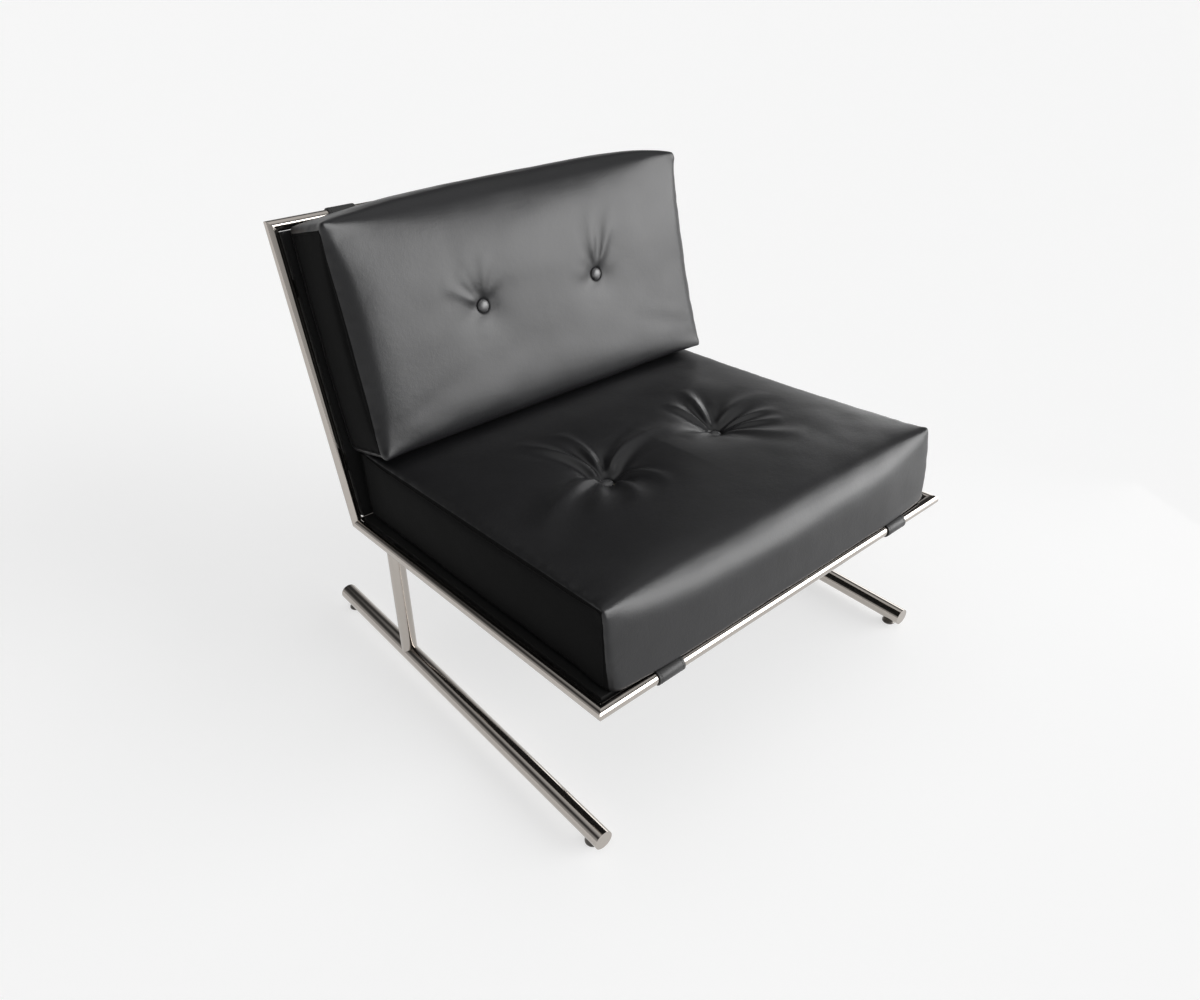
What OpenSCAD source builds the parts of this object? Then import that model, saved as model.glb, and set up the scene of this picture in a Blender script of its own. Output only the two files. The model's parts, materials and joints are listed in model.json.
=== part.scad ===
// Cantilever lounge chair: a welded chrome tube frame with two upholstered decks and two
// loose box cushions, each tufted with two covered buttons.
// The origin is on the floor under the middle of the chair, with +Y to the back and +Z up.
// Left and right are as seen from in front of the chair, so left is -X.

/* [Frame] */
// Distance between the centre lines of the two side rails
frame_width = 770; // [640:1:860]
// Seat rail, from the front rail's centre line to the bend
seat_rail_length = 655; // [590:1:720]
// Back rail, from the bend to the top rail's centre line
back_rail_length = 511; // [460:1:560]
// Height of the front rail's centre line above the floor
front_height = 288; // [255:1:320]
// Fall of the seat towards the back, in degrees
seat_tilt = 3.5; // [1:0.5:6]
// Lean of the back from upright, in degrees
back_lean = 15; // [10:0.5:20]
// Outer diameter of the seat, back, front and top rails
rail_d = 19; // [17:0.5:21]
// Wall of those rails
rail_wall = 1.5; // [1.2:0.1:2]
// Outer diameter of the cross rail at the bend
cross_rail_d = 16; // [14:0.5:17]

/* [Base] */
// Outer diameter of the two foot rails
foot_rail_d = 31; // [29:0.5:34]
// Wall of the foot rails
foot_rail_wall = 2; // [1.5:0.1:2.5]
// Length of a foot rail over its end discs
foot_rail_length = 766; // [700:1:840]
// Thickness of an end disc
end_disc_thickness = 3; // [2:0.5:5]
// Depth of the spigot that seats an end disc
end_spigot_depth = 6; // [4:0.5:10]
// Outer diameter of the posts
post_d = 28; // [25:0.5:28.5]
// Wall of the posts
post_wall = 2; // [1.5:0.1:2.5]
// Distance of the posts' axes behind the front rail
post_back = 535; // [490:1:580]

/* [Glides] */
// Outer diameter of a glide's pad
glide_d = 25; // [21:0.5:28]
// Height of the foot rails' underside above the floor
glide_height = 9; // [7.5:0.5:11]
// Distance of a glide's axis from the end of its foot rail
glide_inset = 24; // [20:1:32]
// Diameter of the levelling stud
stud_d = 8; // [6:0.5:9]
// Length of the stud above the pad
stud_length = 12; // [9:0.5:14]
// Outer diameter of the threaded insert
insert_d = 12; // [11:0.5:13]
// Length of the threaded insert
insert_length = 14; // [12:0.5:16]

/* [Decks] */
// Thickness of the boards
board_thickness = 10; // [9:0.5:14]
// Thickness of the leatherette wrap on the boards
wrap_thickness = 1; // [0.8:0.1:1.5]
// Width of the wrap's return under the board
wrap_return = 32; // [28:1:45]
// Distance of the seat deck's rear edge in front of the bend
seat_deck_setback = 10; // [10:0.5:16]
// Distance of the back deck's lower edge above the bend
back_deck_setback = 12; // [12:0.5:18]
// Width of a tab, along its rail
tab_length = 30; // [24:1:40]
// Reach of a tab from its rail
tab_reach = 25; // [22:1:30]
// Distance of the seat deck's rear tabs in front of the posts
tab_post_gap = 40; // [20:1:60]
// Thickness of a tab
tab_thickness = 3; // [2:0.5:4]
// Diameter of a deck screw's shank
screw_d = 5; // [4:0.5:6]
// Diameter of a deck screw's head
screw_head_d = 10; // [9:0.5:12]
// Height of a deck screw's head
screw_head_height = 3; // [2:0.5:4]
// Outer diameter of a tee nut's barrel
tee_nut_d = 8; // [7:0.5:9]
// Diameter of a tee nut's flange
tee_flange_d = 18; // [15:0.5:20]
// Thickness of a tee nut's flange
tee_flange_thickness = 1.2; // [1:0.1:1.6]

/* [Straps] */
// Width of a strap
strap_width = 48; // [40:1:56]
// Thickness of the strap leather
strap_thickness = 2.5; // [2:0.1:2.8]
// Distance of a strap's middle from the middle of the chair
strap_place = 265; // [230:1:290]
// Length of a strap's tail behind its rail's centre line
strap_tail = 52; // [48:1:60]
// Distance between the two screws of a strap
strap_screw_spacing = 24; // [16:1:28]
// Shank diameter of a strap screw
strap_screw_d = 4; // [3:0.5:4.5]
// Length of a strap screw under its head
strap_screw_length = 12; // [10:0.5:13]

/* [Cushions] */
// Gap between the seat cushion's seams and the inside of the side rails
seat_side_gap = 12; // [8:0.5:30]
// Reach of the seat cushion's front seam past the deck's front edge
seat_overhang = 1; // [0.5:0.5:6]
// Thickness of the seat cushion at its shoulders
seat_cushion_thickness = 134; // [120:1:145]
// Rise of the seat cushion's middle above its shoulders
seat_crown = 12; // [6:0.5:16]
// Gap between the back cushion's seams and the inside of the back rails
back_side_gap = 9; // [6:0.5:30]
// Thickness of the back cushion at its shoulders
back_cushion_thickness = 134; // [120:1:145]
// Distance of the back cushion's upper corners below the top rail's centre line
back_drop = 8; // [4:0.5:24]
// Rise of the back cushion's front above its shoulders
back_crown = 9; // [4:0.5:14]
// Rise of the back cushion's top edge in the middle
top_crown = 22; // [8:1:26]
// Fullness of the other sides between their corners
side_fullness = 4; // [2:0.5:6]
// Radius of the rolled edges
edge_roll = 14; // [10:0.5:18]
// Distance of a button from the middle of the chair
button_place = 125; // [100:1:150]
// Distance of the seat's buttons behind the front rail
seat_button_back = 276; // [240:1:310]
// Height of the back's buttons above the bend
back_button_height = 327; // [300:1:350]
// Depth of the seat's tufts
seat_tuft_depth = 29; // [18:1:32]
// Depth of the back's tufts
back_tuft_depth = 14; // [10:1:20]
// Distance in which a tuft's depth falls to a third
tuft_spread = 34; // [26:1:42]
// Diameter of a covered button
button_d = 23; // [19:0.5:26]
// Height of a button's dome
button_dome = 5; // [4:0.5:7]
// Height of a button's rim
button_rim = 2; // [1.5:0.5:3]
// Thickness of the wadding round the foam at the cushions' sides
side_wadding = 25; // [20:1:32]
// Thickness of the wadding and cover under the foam
base_wadding = 8; // [6:0.5:10]
// Thickness of the wadding and cover between the foam and a tuft's floor
tuft_wadding = 6; // [5:0.5:9]
// Diameter of the tufting twine
twine_d = 2; // [1.5:0.5:3]
// Diameter of the disc that anchors a twine
anchor_d = 22; // [18:1:28]
// Thickness of that disc
anchor_thickness = 3; // [2:0.5:4]

/* [Hidden] */
$fn = 64;
left = -1;
right = 1;
sides = [left, right];
quarter_turn = 90;
mitre = quarter_turn / 2;
// Gap left at a coped weld, and round a screw or a sleeve
weld_gap = 0.1;
// Radial running clearance of a stud in its insert
thread_fit = 0.08;
// Clearance between pieces that move past each other
move_gap = 0.4;
// Overrun of a cut
overrun = 5;
// Edge of the blocks that cut a mitre
cut_size = frame_width;

// Frame
rail_r = rail_d / 2;
cross_rail_r = cross_rail_d / 2;
foot_rail_r = foot_rail_d / 2;
post_r = post_d / 2;
side_x = frame_width / 2;
// The foot rails and the posts stand flush with the outside of the side rails
foot_x = side_x + rail_r - foot_rail_r;
foot_z = glide_height + foot_rail_r;
post_x = side_x + rail_r - foot_rail_r;
// Turn of the side rails at the bend
bend_turn = quarter_turn - back_lean + seat_tilt;
bend_y = seat_rail_length * cos(seat_tilt);
bend_z = front_height - seat_rail_length * sin(seat_tilt);
// The chair is centred between its front and top rails
middle_y = (bend_y + back_rail_length * sin(back_lean)) / 2;
post_y = post_back - middle_y;
post_top = front_height - post_back * tan(seat_tilt);
glide_places = [glide_inset - middle_y, foot_rail_length - glide_inset - middle_y];

// Glides
stud_r = stud_d / 2;
insert_r = insert_d / 2;
insert_bore_r = stud_r + thread_fit;
pad_height = glide_height - move_gap;
// Outline of a glide's pad, as shares of its radius and its height
pad_shares = [[0, 0], [0.86, 0], [1, 0.22], [1, 0.4], [0.82, 0.74], [0.5, 1], [0, 1]];

// Decks and straps
strap_inner_r = rail_r + weld_gap;
strap_outer_r = strap_inner_r + strap_thickness;
deck_gap = 0.5;
deck_half = side_x - rail_r - deck_gap;
deck_front = rail_r + deck_gap;
deck_thickness = board_thickness + 2 * wrap_thickness;
seat_deck_end = seat_rail_length - seat_deck_setback;
back_deck_end = back_rail_length - back_deck_setback;
notch_half = strap_width / 2 + wrap_thickness;
cover_gap = 0.2;
notch_depth = strap_outer_r + weld_gap - deck_front;
strap_screw_r = strap_screw_d / 2;
strap_screw_y = deck_front + wrap_return / 2;
strap_screw_tip = strap_screw_length - 2 * strap_thickness;
strap_head_r = strap_screw_d;
strap_head_height = strap_screw_r;
// Places of the front tabs of the seat and of the back's tabs, as shares of the deck's length
front_tab_share = 0.2;
back_tab_shares = [0.2, 0.8];
seat_tab_places = [
    seat_deck_end * front_tab_share, post_back - post_r - tab_post_gap - tab_length / 2
];
back_tab_places = [for (s = back_tab_shares) back_deck_end * s];
tab_x = side_x - rail_r - tab_reach;
deck_screw_x = side_x - rail_r - tab_reach / 2;
screw_r = screw_d / 2;
screw_hole_r = screw_r + 2 * weld_gap;
tee_nut_r = tee_nut_d / 2;
tee_hole_r = tee_nut_r + weld_gap;
tee_flange_r = tee_flange_d / 2;
board_top = board_thickness + wrap_thickness;
// Length of a tee nut's barrel and depth of a screw's socket, as shares
tee_barrel_share = 0.8;
socket_share = 0.55;
socket_sides = 6;
screw_tip = board_top - tee_flange_thickness;

// Cushions. They lie on the decks and clear the straps.
cushion_base = max(deck_thickness, strap_outer_r) + move_gap;
seat_top = cushion_base + seat_cushion_thickness;
back_front = cushion_base + back_cushion_thickness;
seat_cushion_front = deck_front - seat_overhang;
// Share of the seat's crown at which the back cushion's lower front edge rests on it
rest_share = 0.9;
back_foot = (seat_top + seat_crown * rest_share - back_front * cos(bend_turn)) / sin(bend_turn);
back_head = back_rail_length - back_drop;
// Share of a side's fullness that its seams follow
seam_share = 0.7;
// Height of a cushion's lower seam above its base, as a share of its thickness
seat_base_share = 0.08;
back_base_share = 0.14;
button_r = button_d / 2;
button_margin = 1.5;
// Half the edge of a tuft's flat floor, and the radius round it
tuft_half = button_r + button_margin;
tuft_r = tuft_half * sqrt(2);
dome_r = (button_r * button_r + button_dome * button_dome) / (2 * button_dome);
twine_r = twine_d / 2;
anchor_r = anchor_d / 2;
// Rows of faces down a side
wall_rows = 4;
// Grid lines of a panel, as shares of the way from the middle to a tuft, from a tuft to the
// rolled edge, and of the roll
inner_shares = [0, 0.28, 0.55, 0.8];
outer_shares = [0.1, 0.22, 0.36, 0.52, 0.68, 0.84];
roll_share = 0.3;

// A cushion's values, in the frame of its deck: half width, low and high end, height of its
// lower seam, height of its shoulders, crown, fullness of its low and high end, place and
// depth of its tufts, and whether it is pressed flat under the back cushion
seat_form = [
    deck_half - seat_side_gap, seat_cushion_front, seat_deck_end,
    cushion_base + seat_cushion_thickness * seat_base_share, seat_top, seat_crown,
    side_fullness, 0, seat_button_back, seat_tuft_depth, true
];
back_form = [
    deck_half - back_side_gap, back_foot, back_head,
    cushion_base + back_cushion_thickness * back_base_share, back_front, back_crown,
    0, top_crown, back_button_height, back_tuft_depth, false
];
function half_width(c) = c[0];
function low_end(c) = c[1];
function high_end(c) = c[2];
function low_seam(c) = c[3];
function shoulder(c) = c[4];
function crown(c) = c[5];
function low_fullness(c) = c[6];
function high_fullness(c) = c[7];
function button_y(c) = c[8];
function tuft_depth(c) = c[9];
function is_pressed(c) = c[10];
function mid_y(c) = (low_end(c) + high_end(c)) / 2;
function half_length(c) = (high_end(c) - low_end(c)) / 2;
function foam_top(c) = shoulder(c) + crown(c) - tuft_depth(c) - tuft_wadding;

// Curves from 1 in the middle to 0 at the ends, round and boxy
function arch(t) = 1 - t * t;
function plateau(t) = 1 - pow(t, 4);
function reversed(v) = [for (i = [len(v) - 1:-1:0]) v[i]];
function steps(from, to, shares) = [for (s = shares) from + (to - from) * s];

// Grid lines over half the width, over the whole width and along the cushion
function half_lines(half) = concat(
    steps(0, button_place - tuft_half, inner_shares),
    [button_place - tuft_half, button_place + tuft_half],
    steps(button_place + tuft_half, half - edge_roll, outer_shares),
    [half - edge_roll, half - edge_roll * roll_share, half]
);
function cross_lines(half) = let (lines = half_lines(half))
    concat([for (x = reversed(lines)) if (x > 0) -x], lines);
function long_lines(c) = concat(
    [low_end(c), low_end(c) + edge_roll * roll_share, low_end(c) + edge_roll],
    reversed(steps(button_y(c) - tuft_half, low_end(c) + edge_roll, outer_shares)),
    [button_y(c) - tuft_half, button_y(c) + tuft_half],
    steps(button_y(c) + tuft_half, high_end(c) - edge_roll, outer_shares),
    [high_end(c) - edge_roll, high_end(c) - edge_roll * roll_share, high_end(c)]
);

// Place of a point in plan: the sides are full in the middle and drawn in at the corners
function plan(c, x, y, fullness) = let (t = (y - mid_y(c)) / half_length(c)) [
    x * (1 + side_fullness * fullness * arch(t) / half_width(c)),
    y + arch(x / half_width(c)) * fullness * t * t * (t > 0 ? high_fullness(c) : -low_fullness(c))
];
// Height of the rolled edge, from 0 at the seam to 1 inside the roll
function roll(d) = d >= edge_roll ? 1 : sqrt(max(0, arch(1 - d / edge_roll)));
// Depth of the tufts: a flat floor under the button, and steep sides that run out far
function dimple(c, x, y) = let (r = norm([abs(x) - button_place, y - button_y(c)]))
    tuft_depth(c) * exp(-max(0, r - tuft_r) / tuft_spread);
// The plane on which the back cushion rests, less the clearance
function press_height(y) = back_foot * sin(bend_turn) - move_gap / sin(bend_turn)
    + (seat_rail_length + back_foot * cos(bend_turn) - y) * cos(bend_turn) / sin(bend_turn);
function panel_height(c, x, y) = let (
    edge = min(half_width(c) - abs(x), y - low_end(c), high_end(c) - y),
    rise = crown(c) * plateau(x / half_width(c)) * plateau((y - mid_y(c)) / half_length(c)),
    z = shoulder(c) - edge_roll * (1 - roll(edge)) + rise - dimple(c, x, y)
) is_pressed(c) ? min(z, press_height(y)) : z;

function panel_point(c, x, y) = concat(plan(c, x, y, seam_share), panel_height(c, x, y));
function wall_point(c, x, y, s) = concat(
    plan(c, x, y, seam_share + (1 - seam_share) * arch(2 * s - 1)),
    low_seam(c) + (panel_height(c, x, y) - low_seam(c)) * s
);
function base_point(c, x, y) = [
    x * (1 - edge_roll / half_width(c)),
    mid_y(c) + (y - mid_y(c)) * (1 - edge_roll / half_length(c)),
    cushion_base
];
// Height of a tuft's floor, where the button sits
function floor_height(c) = max([for (i = sides, j = sides)
    panel_height(c, button_place + i * tuft_half, button_y(c) + j * tuft_half)]);
function button_point(c, side) = let (p = plan(c, side * button_place, button_y(c), seam_share))
    [p[0], p[1], floor_height(c)];

// The edge of an nx by ny grid, walked round once
function rim(nx, ny) = concat(
    [for (i = [0:nx - 1]) [i, 0]], [for (j = [0:ny - 1]) [nx, j]],
    [for (i = [nx:-1:1]) [i, ny]], [for (j = [ny:-1:1]) [0, j]]
);

chrome = [0.78, 0.77, 0.76];
dark_steel = [0.3, 0.29, 0.28];
black_leather = [0.08, 0.08, 0.09];
plywood = [0.72, 0.58, 0.4];
foam = [0.9, 0.86, 0.7];
thread = [0.2, 0.2, 0.2];
dust_cloth = [0.05, 0.05, 0.05];

// Frames of the decks. Each has X across, Y along the deck and Z out of it.
module seat_frame() {
    translate([0, -middle_y, front_height]) rotate([-seat_tilt, 0, 0]) children();
}
module back_frame() {
    translate([0, bend_y - middle_y, bend_z]) rotate([quarter_turn - back_lean, 0, 0]) children();
}
// The back deck's frame, with Y running down from the top rail
module back_deck_frame() {
    back_frame() translate([0, back_rail_length, 0]) mirror([0, 1, 0]) children();
}

module rod_x(r, half) {
    translate([-half, 0, 0]) rotate([0, quarter_turn, 0]) cylinder(r = r, h = 2 * half);
}
module rod_y(r, from, to) {
    translate([0, from, 0]) rotate([-quarter_turn, 0, 0]) cylinder(r = r, h = to - from);
}
// A block that fills the space on one side of the plane y = 0
module block_below() {
    translate([-cut_size / 2, -cut_size, -cut_size / 2]) cube(cut_size);
}
module block_above() {
    translate([-cut_size / 2, 0, -cut_size / 2]) cube(cut_size);
}

// Side rails: mitred to the cross rails at one end and to each other at the bend
module seat_rail(side) {
    color(chrome) seat_frame() translate([side * side_x, 0, 0]) difference() {
        rod_y(rail_r, -rail_d, seat_rail_length + rail_d);
        rod_y(rail_r - rail_wall, -rail_d - overrun, seat_rail_length + rail_d + overrun);
        rotate([0, 0, -side * mitre]) block_below();
        translate([0, seat_rail_length, 0]) rotate([bend_turn / 2, 0, 0]) block_above();
    }
}
module back_rail(side) {
    color(chrome) back_frame() translate([side * side_x, 0, 0]) difference() {
        rod_y(rail_r, -rail_d, back_rail_length + rail_d);
        rod_y(rail_r - rail_wall, -rail_d - overrun, back_rail_length + rail_d + overrun);
        rotate([-bend_turn / 2, 0, 0]) block_below();
        translate([0, back_rail_length, 0]) rotate([0, 0, side * mitre]) block_above();
    }
}
// A cross rail in the plane of a deck, mitred at both ends
module end_rail() {
    difference() {
        rod_x(rail_r, side_x + rail_d);
        rod_x(rail_r - rail_wall, side_x + rail_d + overrun);
        for (side = sides) {
            translate([side * side_x, 0, 0]) rotate([0, 0, -side * mitre]) block_above();
        }
    }
}
module front_rail() {
    color(chrome) seat_frame() end_rail();
}
module top_rail() {
    color(chrome) back_deck_frame() end_rail();
}
// The hidden rail at the bend, coped to the side rails
module rear_cross_rail() {
    color(chrome) difference() {
        seat_frame() translate([0, seat_rail_length, 0]) difference() {
            rod_x(cross_rail_r, side_x - rail_r / 2);
            rod_x(cross_rail_r - rail_wall, side_x);
        }
        for (side = sides) {
            seat_frame() translate([side * side_x, 0, 0])
                rod_y(rail_r + weld_gap, seat_rail_length / 2, seat_rail_length + 2 * rail_d);
            back_frame() translate([side * side_x, 0, 0])
                rod_y(rail_r + 2 * weld_gap, -2 * rail_d, back_rail_length / 2);
        }
    }
}

// Foot rails: tubes closed by discs, with holes for the inserts
module foot_rail(side) {
    color(chrome) translate([side * foot_x, -middle_y, foot_z]) difference() {
        rod_y(foot_rail_r, end_disc_thickness, foot_rail_length - end_disc_thickness);
        rod_y(foot_rail_r - foot_rail_wall, 0, foot_rail_length);
        for (y = glide_places) {
            translate([0, y + middle_y, -foot_z]) cylinder(r = insert_r + weld_gap, h = foot_z);
        }
    }
}
module end_disc() {
    spigot_r = foot_rail_r - foot_rail_wall - weld_gap;
    rod_y(foot_rail_r, 0, end_disc_thickness);
    rod_y(spigot_r, 0, end_disc_thickness + end_spigot_depth);
}
module foot_end_discs() {
    color(chrome) for (side = sides) translate([side * foot_x, -middle_y, foot_z]) {
        end_disc();
        translate([0, foot_rail_length, 0]) mirror([0, 1, 0]) end_disc();
    }
}
// Posts: round tubes, coped on the foot rail and under the side rail, and closed beside it
module post(side) {
    color(chrome) difference() {
        translate([side * post_x, post_y, foot_z])
            cylinder(r = post_r, h = post_top + post_d - foot_z);
        translate([side * post_x, post_y, foot_z - overrun])
            cylinder(r = post_r - post_wall, h = post_top - rail_r - post_wall - foot_z + overrun);
        translate([side * foot_x, -middle_y, foot_z])
            rod_y(foot_rail_r + weld_gap, -overrun, foot_rail_length + overrun);
        seat_frame() translate([side * side_x, 0, 0])
            rod_y(rail_r + weld_gap, 0, seat_rail_length);
        seat_frame() translate([-cut_size, 0, 0]) cube([2 * cut_size, seat_rail_length, post_d + overrun]);
    }
}

// Threaded inserts in the foot rails, and the glides that turn in them
module glide_insert() {
    translate([0, 0, glide_height]) difference() {
        cylinder(r = insert_r, h = insert_length);
        translate([0, 0, -overrun]) cylinder(r = insert_bore_r, h = insert_length + 2 * overrun);
    }
}
module glide_inserts() {
    color(dark_steel) for (side = sides, y = glide_places) {
        translate([side * foot_x, y, 0]) glide_insert();
    }
}
module glide(side, y) {
    color(dark_steel) translate([side * foot_x, y, 0]) {
        rotate_extrude() polygon([for (p = pad_shares) [p[0] * glide_d / 2, p[1] * pad_height]]);
        cylinder(r = stud_r, h = pad_height + stud_length);
    }
}

// Places of a deck's tabs and screws
module at_tabs(places, x) {
    for (side = sides, y = places) translate([side * x, y, 0]) children();
}
module at_strap_screws() {
    for (side = sides, i = sides) {
        translate([side * strap_place + i * strap_screw_spacing / 2, strap_screw_y, 0]) children();
    }
}
// Tabs, welded to the inside of the rails under a deck
module tabs(places) {
    difference() {
        for (side = sides, y = places) {
            translate([side > 0 ? tab_x : -side_x, y - tab_length / 2, -tab_thickness])
                cube([side_x - tab_x, tab_length, tab_thickness]);
        }
        for (side = sides) {
            translate([side * side_x, 0, 0])
                rod_y(rail_r + weld_gap, 0, seat_rail_length + back_rail_length);
        }
        at_tabs(places, deck_screw_x) translate([0, 0, -tab_thickness - overrun])
            cylinder(r = screw_hole_r, h = tab_thickness + 2 * overrun);
    }
}
module deck_tabs() {
    color(chrome) {
        seat_frame() tabs(seat_tab_places);
        back_deck_frame() tabs(back_tab_places);
    }
}

// The outside of a deck, less a skin, with a notch round each strap
module deck_block(length, skin) {
    difference() {
        translate([-deck_half + skin, deck_front + skin, skin])
            cube([2 * (deck_half - skin), length - deck_front - 2 * skin, deck_thickness - 2 * skin]);
        for (side = sides) {
            translate([side * strap_place - notch_half - skin, deck_front - overrun, -overrun])
                cube([2 * (notch_half + skin), notch_depth + skin + overrun, deck_thickness + 2 * overrun]);
        }
    }
}
module board(length, places) {
    color(plywood) difference() {
        deck_block(length, wrap_thickness);
        at_tabs(places, deck_screw_x) {
            cylinder(r = tee_hole_r, h = deck_thickness);
            translate([0, 0, board_top - tee_flange_thickness])
                cylinder(r = tee_flange_r + weld_gap, h = tee_flange_thickness + overrun);
        }
        at_strap_screws() cylinder(r = strap_screw_r + weld_gap, h = strap_screw_tip + weld_gap);
    }
}
// The leatherette wrap: over the board, round its edges and back under it
module deck_wrap(length, places) {
    color(black_leather) difference() {
        deck_block(length, 0);
        deck_block(length, wrap_thickness);
        translate([-deck_half + wrap_return, deck_front + wrap_return, -overrun]) cube([
            2 * (deck_half - wrap_return), length - deck_front - 2 * wrap_return,
            overrun + 2 * wrap_thickness
        ]);
        at_tabs(places, deck_screw_x) translate([0, 0, -overrun])
            cylinder(r = tee_hole_r, h = overrun + 2 * wrap_thickness);
        at_strap_screws() translate([0, 0, -overrun])
            cylinder(r = strap_screw_r + weld_gap, h = overrun + 2 * wrap_thickness);
    }
}
// The cloth that closes the underside of a deck inside the wrap's return
module dust_cover(length) {
    inset = wrap_return + cover_gap;
    color(dust_cloth) translate([-deck_half + inset, deck_front + inset, 0])
        cube([2 * (deck_half - inset), length - deck_front - 2 * inset, wrap_thickness]);
}
module seat_board() {
    seat_frame() board(seat_deck_end, seat_tab_places);
}
module back_board() {
    back_deck_frame() board(back_deck_end, back_tab_places);
}
module seat_deck_wrap() {
    seat_frame() deck_wrap(seat_deck_end, seat_tab_places);
}
module back_deck_wrap() {
    back_deck_frame() deck_wrap(back_deck_end, back_tab_places);
}

module seat_dust_cover() {
    seat_frame() dust_cover(seat_deck_end);
}
module back_rear_cover() {
    back_deck_frame() dust_cover(back_deck_end);
}

// Socket screws through the tabs, and tee nuts sunk in the boards
module deck_screw() {
    difference() {
        translate([0, 0, -tab_thickness - screw_head_height]) {
            cylinder(d = screw_head_d, h = screw_head_height);
            cylinder(r = screw_r, h = screw_head_height + tab_thickness + screw_tip);
        }
        translate([0, 0, -tab_thickness - screw_head_height - overrun]) cylinder(
            d = screw_d, h = overrun + screw_head_height * socket_share, $fn = socket_sides
        );
    }
}
module tee_nut() {
    barrel = board_thickness * tee_barrel_share;
    difference() {
        union() {
            translate([0, 0, board_top - barrel]) cylinder(r = tee_nut_r, h = barrel);
            translate([0, 0, board_top - tee_flange_thickness])
                cylinder(r = tee_flange_r, h = tee_flange_thickness);
        }
        cylinder(r = screw_r + weld_gap, h = board_top + overrun);
    }
}
module deck_screws() {
    color(dark_steel) {
        seat_frame() at_tabs(seat_tab_places, deck_screw_x) deck_screw();
        back_deck_frame() at_tabs(back_tab_places, deck_screw_x) deck_screw();
    }
}
module tee_nuts() {
    color(dark_steel) {
        seat_frame() at_tabs(seat_tab_places, deck_screw_x) tee_nut();
        back_deck_frame() at_tabs(back_tab_places, deck_screw_x) tee_nut();
    }
}

// A strap: once round its rail, and back double under the deck
module strap(side) {
    color(black_leather) difference() {
        translate([side * strap_place, 0, 0]) difference() {
            union() {
                rod_x(strap_outer_r, strap_width / 2);
                translate([-strap_width / 2, 0, -2 * strap_thickness])
                    cube([strap_width, strap_tail, 2 * strap_thickness]);
            }
            rod_x(strap_inner_r, strap_width);
        }
        at_strap_screws() translate([0, 0, -2 * strap_thickness - overrun])
            cylinder(r = strap_screw_r + weld_gap, h = 2 * strap_thickness + 2 * overrun);
    }
}
module strap_screw() {
    translate([0, 0, -2 * strap_thickness]) {
        cylinder(r = strap_screw_r, h = strap_screw_length);
        translate([0, 0, -strap_head_height])
            cylinder(r1 = strap_screw_r, r2 = strap_head_r, h = strap_head_height);
    }
}
module strap_screws() {
    color(dark_steel) {
        seat_frame() at_strap_screws() strap_screw();
        back_deck_frame() at_strap_screws() strap_screw();
    }
}

// The outer form of a cushion: a tufted panel, four sides and a flat base with rolled edges
module cushion_form(c) {
    xs = cross_lines(half_width(c));
    ys = long_lines(c);
    nx = len(xs) - 1;
    ny = len(ys) - 1;
    edge = rim(nx, ny);
    round = len(edge);
    panel = (nx + 1) * (ny + 1);
    points = concat(
        [for (x = xs, y = ys) panel_point(c, x, y)],
        [for (k = [1:wall_rows], p = edge) wall_point(c, xs[p[0]], ys[p[1]], 1 - k / wall_rows)],
        [for (p = edge) base_point(c, xs[p[0]], ys[p[1]])],
        [[0, mid_y(c), cushion_base]]
    );
    function at(i, j) = i * (ny + 1) + j;
    function ring(k, p) = let (q = p % round)
        k == 0 ? at(edge[q][0], edge[q][1]) : panel + (k - 1) * round + q;
    polyhedron(points, concat(
        [for (i = [0:nx - 1], j = [0:ny - 1]) each [
            [at(i, j), at(i, j + 1), at(i + 1, j + 1)],
            [at(i, j), at(i + 1, j + 1), at(i + 1, j)]
        ]],
        [for (k = [0:wall_rows], p = [0:round - 1]) each [
            [ring(k, p), ring(k, p + 1), ring(k + 1, p + 1)],
            [ring(k, p), ring(k + 1, p + 1), ring(k + 1, p)]
        ]],
        [for (p = [0:round - 1])
            [ring(wall_rows + 1, p), ring(wall_rows + 1, p + 1), len(points) - 1]]
    ), convexity = wall_rows);
}
module foam_block(c) {
    translate([side_wadding - half_width(c), low_end(c) + side_wadding, cushion_base + base_wadding])
        cube([
            2 * (half_width(c) - side_wadding), 2 * (half_length(c) - side_wadding),
            foam_top(c) - cushion_base - base_wadding
        ]);
}
// What runs from an anchor disc up to a tuft's floor
module at_twines(c) {
    for (side = sides) {
        translate([button_point(c, side)[0], button_point(c, side)[1], cushion_base + base_wadding])
            children();
    }
}
module cushion_cover(c) {
    color(black_leather) difference() {
        cushion_form(c);
        foam_block(c);
        at_twines(c) translate([0, 0, foam_top(c) - cushion_base - base_wadding - overrun])
            cylinder(r = twine_r + weld_gap, h = tuft_depth(c) + tuft_wadding + crown(c) + overrun);
    }
}
module cushion_foam(c) {
    color(foam) difference() {
        foam_block(c);
        at_twines(c) {
            translate([0, 0, -overrun]) cylinder(r = twine_r + weld_gap, h = foam_top(c));
            translate([0, 0, -overrun])
                cylinder(r = anchor_r + weld_gap, h = anchor_thickness + overrun);
        }
    }
}
module buttons(c) {
    color(black_leather) for (side = sides) translate(button_point(c, side)) {
        cylinder(r = button_r, h = button_rim);
        translate([0, 0, button_rim]) intersection() {
            translate([0, 0, button_dome - dome_r]) sphere(r = dome_r);
            cylinder(r = button_r, h = button_dome + overrun);
        }
    }
}
module twines(c) {
    color(thread) at_twines(c) translate([0, 0, anchor_thickness]) cylinder(
        r = twine_r, h = floor_height(c) - cushion_base - base_wadding - anchor_thickness
    );
}
module anchor_discs(c) {
    color(dark_steel) at_twines(c) cylinder(r = anchor_r, h = anchor_thickness);
}

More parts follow.
